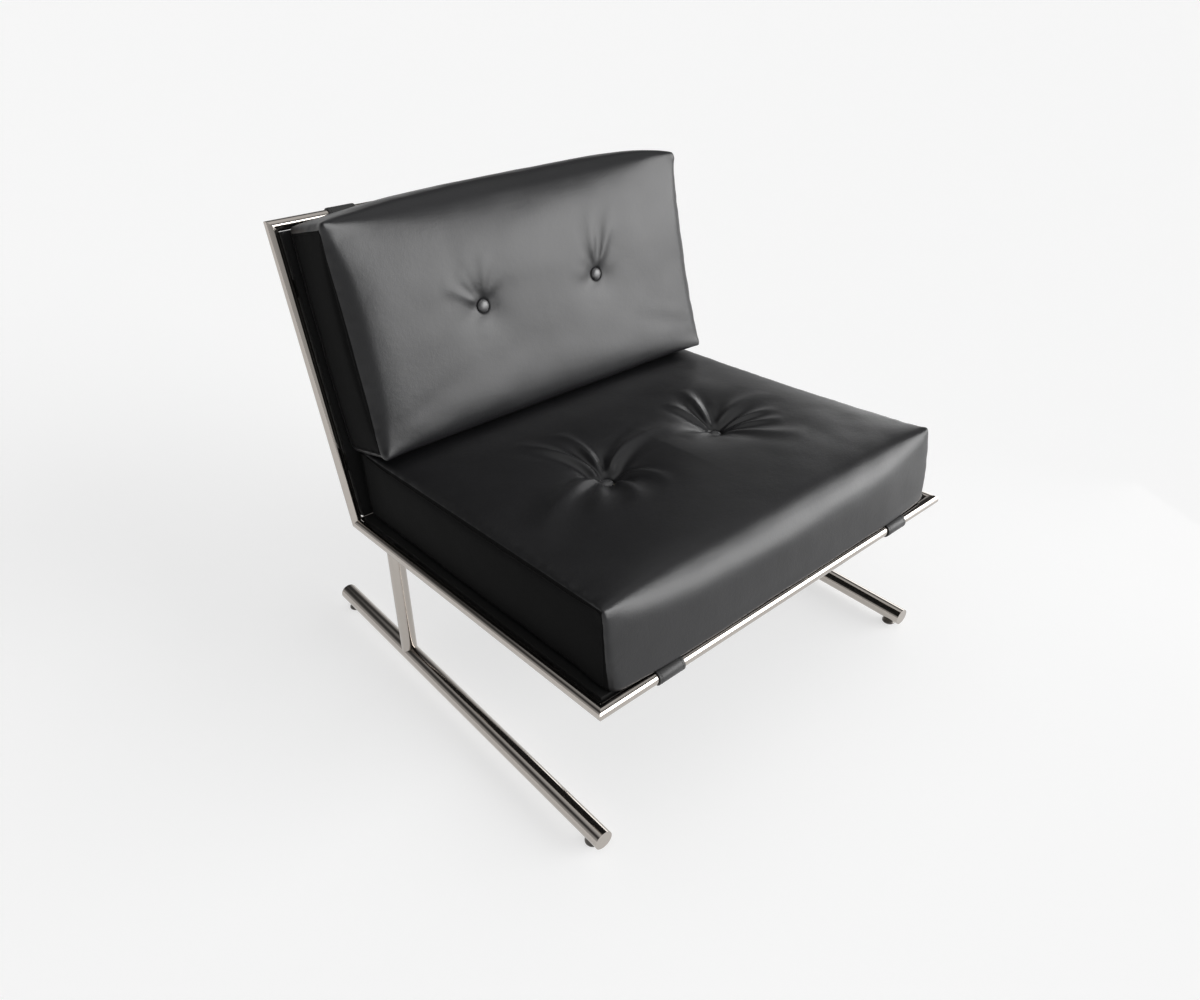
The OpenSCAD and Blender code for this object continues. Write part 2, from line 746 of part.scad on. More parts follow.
foot_rail(left);  // foot_rail_left
foot_rail(right);  // foot_rail_right
foot_end_discs();
post(left);  // post_left
post(right);  // post_right
seat_rail(left);  // seat_rail_left
seat_rail(right);  // seat_rail_right
back_rail(left);  // back_rail_left
back_rail(right);  // back_rail_right
front_rail();
top_rail();
rear_cross_rail();
deck_tabs();
glide_inserts();
seat_board();
back_board();
seat_deck_wrap();
back_deck_wrap();
seat_dust_cover();
back_rear_cover();
deck_screws();
tee_nuts();
seat_frame() strap(left);  // front_strap_left
seat_frame() strap(right);  // front_strap_right
back_deck_frame() strap(left);  // top_strap_left
back_deck_frame() strap(right);  // top_strap_right
strap_screws();
glide(left, glide_places[0]);  // glide_front_left
glide(right, glide_places[0]);  // glide_front_right
glide(left, glide_places[1]);  // glide_rear_left
glide(right, glide_places[1]);  // glide_rear_right
seat_frame() cushion_cover(seat_form);  // seat_cushion_cover
seat_frame() cushion_foam(seat_form);  // seat_cushion_foam
seat_frame() buttons(seat_form);  // seat_buttons
seat_frame() twines(seat_form);  // seat_twines
seat_frame() anchor_discs(seat_form);  // seat_anchor_discs
back_frame() cushion_cover(back_form);  // back_cushion_cover
back_frame() cushion_foam(back_form);  // back_cushion_foam
back_frame() buttons(back_form);  // back_buttons
back_frame() twines(back_form);  // back_twines
back_frame() anchor_discs(back_form);  // back_anchor_discs
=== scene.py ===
# Cantilever lounge chair: chrome frame, upholstered decks and two tufted box cushions,
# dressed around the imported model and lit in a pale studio.
import json
import math

import bpy
import numpy as np
from mathutils import Matrix, Vector, noise
from mathutils.bvhtree import BVHTree


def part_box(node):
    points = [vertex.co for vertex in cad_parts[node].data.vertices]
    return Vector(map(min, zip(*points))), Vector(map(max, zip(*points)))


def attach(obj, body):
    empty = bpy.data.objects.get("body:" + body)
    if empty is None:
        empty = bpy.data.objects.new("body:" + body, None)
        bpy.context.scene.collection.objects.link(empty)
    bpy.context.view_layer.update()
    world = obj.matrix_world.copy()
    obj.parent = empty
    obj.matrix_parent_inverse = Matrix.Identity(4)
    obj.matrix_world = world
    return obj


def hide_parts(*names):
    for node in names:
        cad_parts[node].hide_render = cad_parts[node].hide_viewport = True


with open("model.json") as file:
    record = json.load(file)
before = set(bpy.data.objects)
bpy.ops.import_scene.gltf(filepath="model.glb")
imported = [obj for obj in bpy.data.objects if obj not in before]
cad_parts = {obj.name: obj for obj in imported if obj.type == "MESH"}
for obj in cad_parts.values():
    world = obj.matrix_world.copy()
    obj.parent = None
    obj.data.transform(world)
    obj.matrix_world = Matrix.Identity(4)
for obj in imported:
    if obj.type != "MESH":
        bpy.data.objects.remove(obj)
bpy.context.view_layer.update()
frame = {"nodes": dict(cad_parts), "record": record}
MM = 0.001

# Where the frame holds the decks
SIDES = {"left": -1, "right": 1}


def middle(node):
    low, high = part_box(node)
    return (low + high) / 2


FRONT = middle("front_rail")
BEND = middle("rear_cross_rail")
TOP = middle("top_rail")
RAIL_R = (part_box("front_rail")[1].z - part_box("front_rail")[0].z) / 2


def deck_matrix(origin, towards):
    """A deck's own frame: X across, Y along the deck, Z out of it."""
    y = (towards - origin).normalized()
    z = Vector((1, 0, 0)).cross(y)
    turn = Matrix(((1, y.x, z.x), (0, y.y, z.y), (0, y.z, z.z)))
    return Matrix.Translation(origin) @ turn.to_4x4()


SEAT = deck_matrix(FRONT, BEND)
BACK = deck_matrix(BEND, TOP)


# Materials

class Look:
    """A material and short ways to add and join its nodes."""

    def __init__(self, name):
        self.material = bpy.data.materials.new(name)
        self.material.use_nodes = True
        self.nodes = self.material.node_tree.nodes
        self.links = self.material.node_tree.links
        self.shader = self.nodes["Principled BSDF"]
        self.output = self.nodes["Material Output"]
        self.place = self.add("ShaderNodeTexCoord").outputs["Object"]

    def add(self, kind, inputs=None, **settings):
        node = self.nodes.new(kind)
        for key, value in settings.items():
            setattr(node, key, value)
        for key, value in (inputs or {}).items():
            if isinstance(value, bpy.types.NodeSocket):
                self.links.new(value, node.inputs[key])
            else:
                node.inputs[key].default_value = value
        return node

    def set(self, **values):
        for key, value in values.items():
            socket = self.shader.inputs[key.replace("_", " ")]
            if isinstance(value, bpy.types.NodeSocket):
                self.links.new(value, socket)
            else:
                socket.default_value = value

    def noise(self, scale, detail=4.0, roughness=0.5, vector=None):
        return self.add("ShaderNodeTexNoise", {
            "Vector": vector or self.place, "Scale": scale, "Detail": detail, "Roughness": roughness,
        })

    def ramp(self, value, low, high, low_at=0.0, high_at=1.0):
        """A value from 0 to 1 turned to one between low and high."""
        return self.add("ShaderNodeMapRange", {
            "Value": value, "From Min": low_at, "From Max": high_at, "To Min": low, "To Max": high,
        }).outputs["Result"]

    def mix(self, factor, first, second):
        node = self.add("ShaderNodeMix", {"Factor": factor, 6: first, 7: second}, data_type="RGBA")
        return node.outputs[2]

    def bump(self, height, strength, distance, normal=None):
        inputs = {"Height": height, "Strength": strength, "Distance": distance}
        if normal:
            inputs["Normal"] = normal
        return self.add("ShaderNodeBump", inputs).outputs["Normal"]


def leather(name, colour, shine, grain=1.1 * MM, soft=0.46):
    """Black leatherette: fine pebbled grain, faint creases and slightly uneven gloss."""
    look = Look(name)
    pebble = look.add("ShaderNodeTexVoronoi", {"Vector": look.place, "Scale": 1 / grain, "Randomness": 1.0},
                      feature="SMOOTH_F1")
    cloud = look.noise(9.0, 5.0, 0.6)
    fine = look.noise(0.4 / grain, 3.0, 0.6)
    tone = look.mix(cloud.outputs["Fac"], [c * 0.85 for c in colour] + [1], [c * 1.2 for c in colour] + [1])
    crinkle = look.noise(0.11 / grain, 5.0, 0.65)
    ripples = look.bump(crinkle.outputs["Fac"], 0.2, 1.2 * MM)
    pebbles = look.bump(pebble.outputs["Distance"], 0.3, 0.12 * MM, ripples)
    creases = look.bump(fine.outputs["Fac"], 0.35, 0.35 * MM, pebbles)
    look.set(Base_Color=tone, Normal=creases, Specular_IOR_Level=shine,
             Roughness=look.ramp(cloud.outputs["Fac"], soft - 0.05, soft + 0.06))
    return look.material


def chrome(name, colour=(0.475, 0.44, 0.405), blur=0.07):
    """Polished chrome plate: almost mirror, with fine buffing haze. Its base colour is darker and warmer
    than bare chrome: painted reflection of warm, dim surroundings.
    """
    look = Look(name)
    haze = look.noise(60.0, 6.0, 0.65)
    wave = look.noise(14.0, 2.0, 0.5)
    look.set(Metallic=1.0, Base_Color=look.mix(
        wave.outputs["Fac"], [c * 0.97 for c in colour] + [1], [min(1, c * 1.03) for c in colour] + [1]))
    look.set(Roughness=look.ramp(haze.outputs["Fac"], blur * 0.6, blur * 2.0),
             Normal=look.bump(wave.outputs["Fac"], 0.04, 0.6 * MM))
    return look.material


def dark_metal(name, colour=(0.16, 0.15, 0.14)):
    """Dull dark steel, a little scuffed."""
    look = Look(name)
    scuff = look.noise(180.0, 6.0, 0.7)
    look.set(Metallic=0.9, Base_Color=look.mix(
        scuff.outputs["Fac"], [c * 0.7 for c in colour] + [1], [c * 1.4 for c in colour] + [1]))
    look.set(Roughness=look.ramp(scuff.outputs["Fac"], 0.28, 0.5),
             Normal=look.bump(scuff.outputs["Fac"], 0.2, 0.1 * MM))
    return look.material


def cloth(name, colour, thread=0.7 * MM):
    """Thin woven lining."""
    look = Look(name)
    warp = look.add("ShaderNodeTexWave", {"Vector": look.place, "Scale": 0.16 / thread}, bands_direction="X")
    weft = look.add("ShaderNodeTexWave", {"Vector": look.place, "Scale": 0.16 / thread}, bands_direction="Z")
    weave = look.add("ShaderNodeMath", {0: warp.outputs["Fac"], 1: weft.outputs["Fac"]}, operation="MAXIMUM")
    look.set(Base_Color=look.mix(weave.outputs[0], [c * 0.6 for c in colour] + [1], list(colour) + [1]),
             Normal=look.bump(weave.outputs[0], 0.4, 0.15 * MM), Roughness=0.9)
    return look.material


def plywood(name):
    look = Look(name)
    grain = look.add("ShaderNodeTexWave", {
        "Vector": look.place, "Scale": 6.0, "Distortion": 6.0, "Detail": 4.0,
    })
    look.set(Base_Color=look.mix(grain.outputs["Fac"], (0.42, 0.29, 0.16, 1), (0.6, 0.45, 0.27, 1)),
             Roughness=0.7)
    return look.material


def foam(name):
    look = Look(name)
    cells = look.noise(700.0, 3.0, 0.6)
    look.set(Base_Color=look.mix(cells.outputs["Fac"], (0.62, 0.55, 0.33, 1), (0.78, 0.72, 0.5, 1)),
             Normal=look.bump(cells.outputs["Fac"], 0.5, 0.4 * MM), Roughness=0.95)
    return look.material


def thread(name):
    look = Look(name)
    twist = look.add("ShaderNodeTexWave", {"Vector": look.place, "Scale": 220.0}, bands_direction="DIAGONAL")
    look.set(Base_Color=look.mix(twist.outputs["Fac"], (0.004, 0.004, 0.004, 1), (0.012, 0.012, 0.012, 1)),
             Normal=look.bump(twist.outputs["Fac"], 0.5, 0.2 * MM), Roughness=0.8)
    return look.material


CHROME = chrome("polished_chrome")
DARK_METAL = dark_metal("dark_steel")
CUSHION_LEATHER = leather("cushion_leatherette", (0.010, 0.010, 0.011), 0.46, soft=0.36)
# A lighter, glossier copy of the cushion leatherette: painted highlight that brightens the button domes.
BUTTON_LEATHER_PAINTED_HIGHLIGHT = leather("button_leatherette", (0.05, 0.05, 0.052), 1.0, soft=0.40)
# A copy of the cushion leatherette with almost no shine: painted shade that keeps the side panels and their
# seams dark.
GUSSET_LEATHER_PAINTED_SHADE = leather("gusset_leatherette_painted_shade", (0.010, 0.010, 0.010), 0.03, soft=0.62)
DECK_LEATHER = leather("deck_leatherette", (0.012, 0.012, 0.012), 0.3, soft=0.5)
STRAP_LEATHER = leather("strap_leather", (0.03, 0.03, 0.03), 0.45, grain=0.9 * MM, soft=0.45)
LINING = cloth("black_lining", (0.02, 0.02, 0.02))
PLYWOOD = plywood("plywood")
FOAM = foam("foam")
THREAD = thread("tufting_twine")
SLOT_LOOKS = {
    "chrome_tube": CHROME, "dark_steel": DARK_METAL, "cushion_leather": CUSHION_LEATHER,
    "deck_leatherette": DECK_LEATHER, "strap_leather": STRAP_LEATHER, "plywood": PLYWOOD,
    "dust_cloth": LINING, "foam": FOAM, "twine": THREAD,
}


def dress_cad_nodes():
    """Every CAD node takes the look of its material slot."""
    for part in frame["record"]["subparts"]:
        mesh = frame["nodes"][part["node"]].data
        mesh.materials.clear()
        mesh.materials.append(SLOT_LOOKS[part["material_slot"]])


# Studio

CAMERA_PLACE = (-0.9292, -1.0154, 1.1417)
CAMERA_YAW = 41.10
CAMERA_PITCH = 32.64
CAMERA_LENS = 27.0
FLOOR_SIZE = 80.0
FLOOR_TONES = (0.445, 0.455)
FLOOR_GLOW = 0.595
# Where each softbox stands, seen from the chair, its angular width in degrees and its strength
KEY_FROM = (0.64, -0.76, 0.12)
KEY_SPREAD = 58
KEY_STRENGTH = 5.0
RIM_FROM = (0.93, 0.22, 0.12)
RIM_SPREAD = 40
RIM_STRENGTH = 0.75
SIDE_BOX_PLACE = (1.15, -0.80, 0.30)
SIDE_BOX_AIM = (0.25, -0.36, 0.42)
SIDE_BOX_SIZE = 0.7
SIDE_BOX_SPREAD = 130
SIDE_BOX_POWER = 0.7
# How pale the studio is from eye height, 0, to straight above, 1
SKY_STEPS = ((0.0, 0.55), (0.12, 0.50), (0.30, 0.40), (0.46, 0.09), (0.65, 0.04), (0.82, 0.55), (1.0, 1.0))


def set_camera():
    bpy.ops.object.camera_add(
        location=CAMERA_PLACE,
        rotation=(math.radians(90 - CAMERA_PITCH), 0, -math.radians(CAMERA_YAW)),
    )
    camera = bpy.context.object
    camera.name = "photo_camera"
    camera.data.sensor_width = 36
    camera.data.lens = CAMERA_LENS
    camera.data.clip_start = 0.01
    camera.data.clip_end = 200
    bpy.context.scene.camera = camera


def pale_rays(look):
    """A factor that is 1 for what the camera, metal and glass see."""
    path = look.add("ShaderNodeLightPath")
    seen = look.add("ShaderNodeMath", {
        0: path.outputs["Is Camera Ray"], 1: path.outputs["Is Glossy Ray"],
    }, operation="MAXIMUM")
    through = look.add("ShaderNodeMath", {
        0: seen.outputs[0], 1: path.outputs["Is Transmission Ray"],
    }, operation="MAXIMUM")
    return through.outputs[0]


def floor_look():
    """Matt pale floor. Part of its paleness is its own, so that shadows stay light."""
    look = Look("studio_floor")
    look.nodes.remove(look.shader)
    speck = look.noise(3.0, 2.0)
    tone = look.mix(speck.outputs["Fac"], (*[FLOOR_TONES[0]] * 3, 1), (*[FLOOR_TONES[1]] * 3, 1))
    matt = look.add("ShaderNodeBsdfDiffuse", {"Color": tone})
    glow = look.add("ShaderNodeEmission", {"Color": (1, 1, 1, 1), "Strength": FLOOR_GLOW})
    dark = look.add("ShaderNodeEmission", {"Strength": 0.0})
    seen = look.add("ShaderNodeMixShader", {"Fac": pale_rays(look)})
    look.links.new(dark.outputs[0], seen.inputs[1])
    look.links.new(glow.outputs[0], seen.inputs[2])
    total = look.add("ShaderNodeAddShader")
    look.links.new(matt.outputs[0], total.inputs[0])
    look.links.new(seen.outputs[0], total.inputs[1])
    look.links.new(total.outputs[0], look.output.inputs["Surface"])
    return look.material


def lay_floor():
    bpy.ops.mesh.primitive_plane_add(size=FLOOR_SIZE)
    floor = bpy.context.object
    floor.name = "studio_floor"
    floor.data.materials.append(floor_look())


def add_sun(name, towards, spread, strength):
    """A softbox so far away that it lights the floor evenly."""
    bpy.ops.object.light_add(type="SUN")
    sun = bpy.context.object
    sun.name = name
    sun.rotation_euler = Vector(towards).to_track_quat("Z", "Y").to_euler()
    sun.data.angle = math.radians(spread)
    sun.data.energy = strength


def add_side_box():
    """A small softbox close to the right front corner of the seat."""
    place = Vector(SIDE_BOX_PLACE)
    bpy.ops.object.light_add(type="AREA", location=place)
    box = bpy.context.object
    box.name = "side_softbox"
    box.rotation_euler = (place - Vector(SIDE_BOX_AIM)).to_track_quat("Z", "Y").to_euler()
    box.data.size = SIDE_BOX_SIZE
    box.data.spread = math.radians(SIDE_BOX_SPREAD)
    box.data.energy = SIDE_BOX_POWER


def light_studio():
    """Key softbox low at the right front, and a studio that is dim at eye height and pale overhead."""
    world = bpy.data.worlds.new("studio")
    bpy.context.scene.world = world
    world.use_nodes = True
    nodes, links = world.node_tree.nodes, world.node_tree.links
    place = nodes.new("ShaderNodeTexCoord")
    split = nodes.new("ShaderNodeSeparateXYZ")
    links.new(place.outputs["Generated"], split.inputs[0])
    ramp = nodes.new("ShaderNodeValToRGB")
    links.new(split.outputs["Z"], ramp.inputs[0])
    stops = ramp.color_ramp.elements
    for height, _ in SKY_STEPS[1:-1]:
        stops.new(height)
    for stop, (_, tone) in zip(stops, SKY_STEPS):
        stop.color = (tone, tone, tone, 1)
    links.new(ramp.outputs[0], nodes["Background"].inputs["Color"])
    add_sun("key_softbox", KEY_FROM, KEY_SPREAD, KEY_STRENGTH)
    add_sun("rim_softbox", RIM_FROM, RIM_SPREAD, RIM_STRENGTH)
    add_side_box()


# Modelling by hand

def deselect():
    if bpy.context.object and bpy.context.object.mode != "OBJECT":
        bpy.ops.object.mode_set(mode="OBJECT")
    bpy.ops.object.select_all(action="DESELECT")


def pick(piece):
    deselect()
    piece.select_set(True)
    bpy.context.view_layer.objects.active = piece


def coordinates(piece):
    flat = np.empty(len(piece.data.vertices) * 3)
    piece.data.vertices.foreach_get("co", flat)
    return flat.reshape(-1, 3)


def normals(piece):
    flat = np.empty(len(piece.data.vertices) * 3, dtype=np.float32)
    piece.data.vertex_normals.foreach_get("vector", flat)
    return flat.reshape(-1, 3).astype(float)


def set_coordinates(piece, points):
    piece.data.vertices.foreach_set("co", np.ascontiguousarray(points).ravel())
    piece.data.update()


def add_modifier(piece, kind, **settings):
    """A modifier with its settings, applied at once."""
    pick(piece)
    modifier = piece.modifiers.new(kind.lower(), kind)
    for key, value in settings.items():
        setattr(modifier, key, value)
    bpy.ops.object.modifier_apply(modifier=modifier.name)


def add_cube(name, low, high):
    deselect()
    bpy.ops.mesh.primitive_cube_add(size=1, location=(low + high) / 2)
    piece = bpy.context.object
    piece.name = name
    piece.scale = high - low
    bpy.ops.object.transform_apply(location=True, rotation=True, scale=True)
    return piece


def bevel_sharp(piece, width, segments, angle=50):
    pick(piece)
    bpy.ops.object.mode_set(mode="EDIT")
    bpy.ops.mesh.select_mode(type="EDGE")
    bpy.ops.mesh.select_all(action="DESELECT")
    bpy.ops.mesh.edges_select_sharp(sharpness=math.radians(angle))
    bpy.ops.mesh.bevel(offset=width, segments=segments, profile=0.5)
    bpy.ops.object.mode_set(mode="OBJECT")


def subdivide_near(piece, inside):
    """Halves the faces whose middles pass the test."""
    pick(piece)
    count = len(piece.data.polygons)
    middles = np.empty(count * 3)
    piece.data.polygons.foreach_get("center", middles)
    chosen = inside(middles.reshape(-1, 3))
    bpy.ops.object.mode_set(mode="EDIT")
    bpy.ops.mesh.select_mode(type="FACE")
    bpy.ops.mesh.select_all(action="DESELECT")
    bpy.ops.object.mode_set(mode="OBJECT")
    piece.data.polygons.foreach_set("select", chosen)
    bpy.ops.object.mode_set(mode="EDIT")
    bpy.ops.mesh.subdivide(number_cuts=1)
    bpy.ops.object.mode_set(mode="OBJECT")


def smooth(piece, angle=40):
    pick(piece)
    bpy.ops.object.shade_smooth_by_angle(angle=math.radians(angle))


def place_on(piece, deck):
    """Moves the mesh, not the object, from a deck's or rail's frame into the room."""
    piece.data.transform(deck)
    piece.data.update()


def finish(piece, body, look, replaces=()):
    if look:
        piece.data.materials.clear()
        piece.data.materials.append(look)
    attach(piece, body)
    if replaces:
        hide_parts(*replaces)


# Cushions

SIDE_FULLNESS = 4 * MM
FRONT_FULLNESS = 7 * MM
# The higher the power, the closer to its edges a panel stays full
PANEL_POWER = 2.6
BACK_FOOT_POWER = 9
EDGE_ROLL = 4 * MM
VOXEL = 6 * MM
FILL_PRESSURE = 4
FILL_STEPS = 20
FILL_CAP = 26 * MM
DETAIL_LIMIT = 1.6 * MM
TUFT_X = 125 * MM
BUTTON_R = 11 * MM


def deck_box(node, deck):
    """A node's lowest and highest corners in a deck's own frame."""
    back = deck.inverted()
    points = [back @ vertex.co for vertex in frame["nodes"][node].data.vertices]
    return Vector(map(min, zip(*points))), Vector(map(max, zip(*points)))


def ease(values, low, high):
    """0 below low, 1 above high, and a smooth step between."""
    share = np.clip((values - low) / (high - low), 0, 1)
    return share * share * (3 - 2 * share)


class Cushion:
    """One box cushion: where it lies, how its edges roll, how full it is, and its folds."""

    def __init__(self, name, deck, rolls, folds, ears, seam_inset, crown, dip, dip_spread, pit,
                 fold_rise, fold_width, droop, side_droop, arch=0.0):
        self.name = name
        self.deck = deck
        self.rolls = rolls
        # Each fold as in the lists below, and how much higher and wider all are drawn
        self.folds = folds
        self.fold_rise = fold_rise
        self.fold_width = fold_width
        # The ends, -1 near and 1 far, whose corners stand out in points
        self.ears = ears
        # How far the side panels' seams lie inside the outline
        self.seam_inset = seam_inset
        self.crown = crown
        # The buttons' pull: its depth, how far it spreads, and the small pit round each button
        self.dip = dip
        self.dip_spread = dip_spread
        self.pit = pit
        # The end whose edge sinks, how deep, and over what length
        self.droop = droop
        # How deep the left and right edges sink, and over what width
        self.side_droop = side_droop
        # How far the far end bows out
        self.arch = arch
        self.low, self.high = deck_box(name + "_cushion_cover", deck)
        self.tuft_y = (deck.inverted() @ middle(name + "_buttons")).y

    def tufts(self):
        return {side: (sign * TUFT_X, self.tuft_y) for side, sign in SIDES.items()}


# Each fold: its direction at the button and at its far end, in degrees from the chair's right,
# then its length, height and half width in millimetres.
SEAT_FOLDS = {
    "left": (
        (70, 82, 150, 2.6, 4.0), (98, 107, 178, 2.4, 4.5), (52, 44, 95, 1.0, 4.0), (38, 7, 225, 2.3, 6.5),
        (-22, -70, 115, 1.3, 4.5), (-86, -110, 128, 2.2, 6.5), (-145, -138, 138, 2.3, 6.5),
        (180, 203, 208, 3.0, 9.0), (160, 180, 150, 1.2, 8.0),
    ),
    "right": (
        (70, 68, 138, 2.6, 4.0), (98, 97, 112, 2.2, 4.0), (48, 45, 88, 1.0, 4.0), (26, 7, 158, 1.7, 6.5),
        (-16, -20, 118, 2.5, 4.0), (-46, -41, 118, 2.2, 5.0), (-88, -62, 158, 1.7, 7.0),
        (-140, -120, 85, 0.9, 8.0), (196, 186, 90, 1.6, 6.0), (130, 136, 80, 1.0, 6.0),
    ),
}
BACK_FOLDS = {
    "left": (
        (122, 122, 78, 2.0, 3.6), (147, 144, 92, 2.0, 3.6), (80, 78, 92, 2.0, 4.2), (53, 51, 78, 1.3, 4.5),
        (100, 104, 108, 1.1, 4.5), (166, 163, 66, 1.3, 5.0), (-104, -107, 58, 0.9, 7.0),
    ),
    "right": (
        (94, 87, 122, 2.3, 4.6), (60, 64, 128, 2.3, 4.6), (123, 130, 60, 1.2, 4.0), (165, 161, 74, 1.3, 6.0),
        (-104, -109, 56, 0.9, 7.0), (28, 34, 62, 0.9, 6.0),
    ),
}
# Each roll: the axis across the edge, which end and which face the edge is at, and then its
# radius in the middle and at the corners, and how many times deeper it reaches than it is wide.
SEAT_ROLLS = (
    (1, -1, 1, 32 * MM, 9 * MM, 2.3), (1, 1, 1, 20 * MM, 8 * MM, 1),
    (0, -1, 1, 20 * MM, 5 * MM, 1), (0, 1, 1, 20 * MM, 5 * MM, 1),
)
BACK_ROLLS = (
    (1, -1, 1, 14 * MM, 6 * MM, 1), (1, 1, 1, 24 * MM, 8 * MM, 1), (1, -1, -1, 24 * MM, 24 * MM, 1),
    (0, -1, 1, 32 * MM, 5 * MM, 1), (0, 1, 1, 26 * MM, 5 * MM, 1),
)
SEAT_CUSHION = Cushion(
    "seat", SEAT, SEAT_ROLLS, SEAT_FOLDS, ears=(-1,), seam_inset=4.5 * MM, crown=14 * MM,
    dip=34 * MM, dip_spread=40 * MM, pit=3 * MM, fold_rise=3.6, fold_width=1.35,
    droop=(-1, 7 * MM, 100 * MM), side_droop=(4 * MM, 4 * MM, 24 * MM),
)
BACK_CUSHION = Cushion(
    "back", BACK, BACK_ROLLS, BACK_FOLDS, ears=(-1, 1), seam_inset=12 * MM, crown=9 * MM,
    dip=10 * MM, dip_spread=32 * MM, pit=1.6 * MM, fold_rise=1.8, fold_width=1.6,
    droop=(1, 22 * MM, 150 * MM), side_droop=(8 * MM, 2.5 * MM, 30 * MM), arch=20 * MM,
)
EAR_REACH = 3.5 * MM
EAR_SPREAD = 13 * MM
FRONT_LIP = 9 * MM
FRONT_LIP_CURL = 1.2
FRONT_LIP_LENGTH = 90 * MM
FRONT_LIP_HEIGHT = 14 * MM
FRONT_LIP_FLARE = 3 * MM
FOOT_CORNER = 20 * MM
FOOT_CORNER_HEIGHT = 70 * MM
UNEVEN = 0.9 * MM
PUCKER = 0.9 * MM


def sewn_block(cushion):
    """The cushion before it is filled: a sewn box in its deck's frame."""
    room = Vector((SIDE_FULLNESS, SIDE_FULLNESS, cushion.crown))
    low = cushion.low + Vector((room.x, room.y, 0))
    high = cushion.high - room
    if cushion.arch:
        low.y = cushion.low.y
        high.y -= cushion.arch - room.y
    cushion.block = low, high
    block = add_cube(cushion.name + "_cushion", low, high)
    bevel_sharp(block, EDGE_ROLL, 2)
    add_modifier(block, "REMESH", mode="VOXEL", voxel_size=VOXEL)
    dress_gussets(block, cushion)
    points = coordinates(block)
    for roll in cushion.rolls:
        roll_edge(points, cushion, *roll)
    add_ears(points, cushion)
    if cushion.name == "seat":
        round_foot_corners(points, cushion)
        add_front_lip(points, cushion)
    set_coordinates(block, points)
    return block


def roll_edge(points, cushion, axis, end, face, wide, tight, depth):
    """Rounds one long edge, more in the middle than at its corners."""
    low, high = cushion.block
    other = 1 - axis
    edge = high[axis] if end > 0 else low[axis]
    edge_z = high.z if face > 0 else low.z
    half = (high[other] - low[other]) / 2
    along = np.abs(points[:, other] - (low[other] + high[other]) / 2) / half
    radius = tight + (wide - tight) * np.clip(1 - along ** 3, 0, 1)
    a = radius - (edge - points[:, axis]) * end
    b = radius - (edge_z - points[:, 2]) * face / depth
    inside = (a > 0) & (b > 0)
    reach = np.where(along * half < half - 1.5 * EDGE_ROLL, radius, np.maximum(a, b))
    shrink = np.where(inside, reach / np.maximum(np.hypot(a, b), 1e-9), 1)
    points[:, axis] = np.where(inside, edge - end * (radius - a * shrink), points[:, axis])
    points[:, 2] = np.where(inside, edge_z - face * (radius - b * shrink) * depth, points[:, 2])


def add_ears(points, cushion):
    """The panel corners stand out in small points, as sewn corners do."""
    low, high = cushion.block
    for side in SIDES.values():
        for end in cushion.ears:
            corner = np.array((side * high.x, high.y if end > 0 else low.y, high.z))
            out = np.array((side * 0.75, end * 0.55, 0.45))
            near = np.exp(-(np.linalg.norm(points - corner, axis=1) / EAR_SPREAD) ** 2)
            points += near[:, None] * out * EAR_REACH


def round_foot_corners(points, cushion):
    """The front corners draw in towards the deck."""
    low, high = cushion.block
    radius = FOOT_CORNER * (1 - ease(points[:, 2], low.z, low.z + FOOT_CORNER_HEIGHT))
    a = radius - (high.x - np.abs(points[:, 0]))
    b = radius - (points[:, 1] - low.y)
    inside = (a > 0) & (b > 0)
    shrink = np.where(inside, np.maximum(a, b) / np.maximum(np.hypot(a, b), 1e-9), 1)
    across = np.where(inside, high.x - (radius - a * shrink), np.abs(points[:, 0]))
    points[:, 0] = np.sign(points[:, 0]) * across
    points[:, 1] = np.where(inside, low.y + (radius - b * shrink), points[:, 1])


def add_front_lip(points, cushion):
    """The foot of the front panel sags out over the front rail."""
    low, high = cushion.block
    across = np.abs(points[:, 0])
    share = (high.z - points[:, 2]) / (high.z - low.z)
    share *= 1 - ease(points[:, 1], low.y, low.y + FRONT_LIP_LENGTH)
    off_corner = 1 - np.clip(across / high.x, 0, 1) ** 8
    share += FRONT_LIP_CURL * off_corner * np.exp(-(points[:, 2] - low.z) / FRONT_LIP_HEIGHT) * (share > 0)
    points[:, 1] -= FRONT_LIP * share
    points[:, 0] += np.sign(points[:, 0]) * ease(across, 300 * MM, 350 * MM) * FRONT_LIP_FLARE * share


def panel_depth(cushion, points):
    """How far a point lies inside the outline of the side panels."""
    low, high = cushion.block
    y, z = points[:, 1], points[:, 2]
    return np.minimum.reduce([y - low.y, high.y - y, z - low.z, high.z - z])


def held_share(cushion, points):
    """1 at the seams and the base, which hold their place while the panels fill."""
    low, high = cushion.block
    side = np.abs(points[:, 0]) > high.x - EDGE_ROLL
    depth = panel_depth(cushion, points)
    at_seam = side & (np.abs(depth - cushion.seam_inset) < VOXEL)
    at_base = points[:, 2] < low.z + VOXEL * 0.6
    return np.where(at_seam | at_base, 1.0, 0.0)


def spread_out(piece, values, rounds=40):
    """Evens out a value over a mesh by averaging each point with its neighbours."""
    ends = np.empty(len(piece.data.edges) * 2, dtype=np.int64)
    piece.data.edges.foreach_get("vertices", ends)
    first, second = ends[0::2], ends[1::2]
    count = np.bincount(ends, minlength=len(values))
    for _ in range(rounds):
        total = np.bincount(first, values[second], len(values))
        total += np.bincount(second, values[first], len(values))
        values = 0.5 * values + 0.5 * total / count
    return values


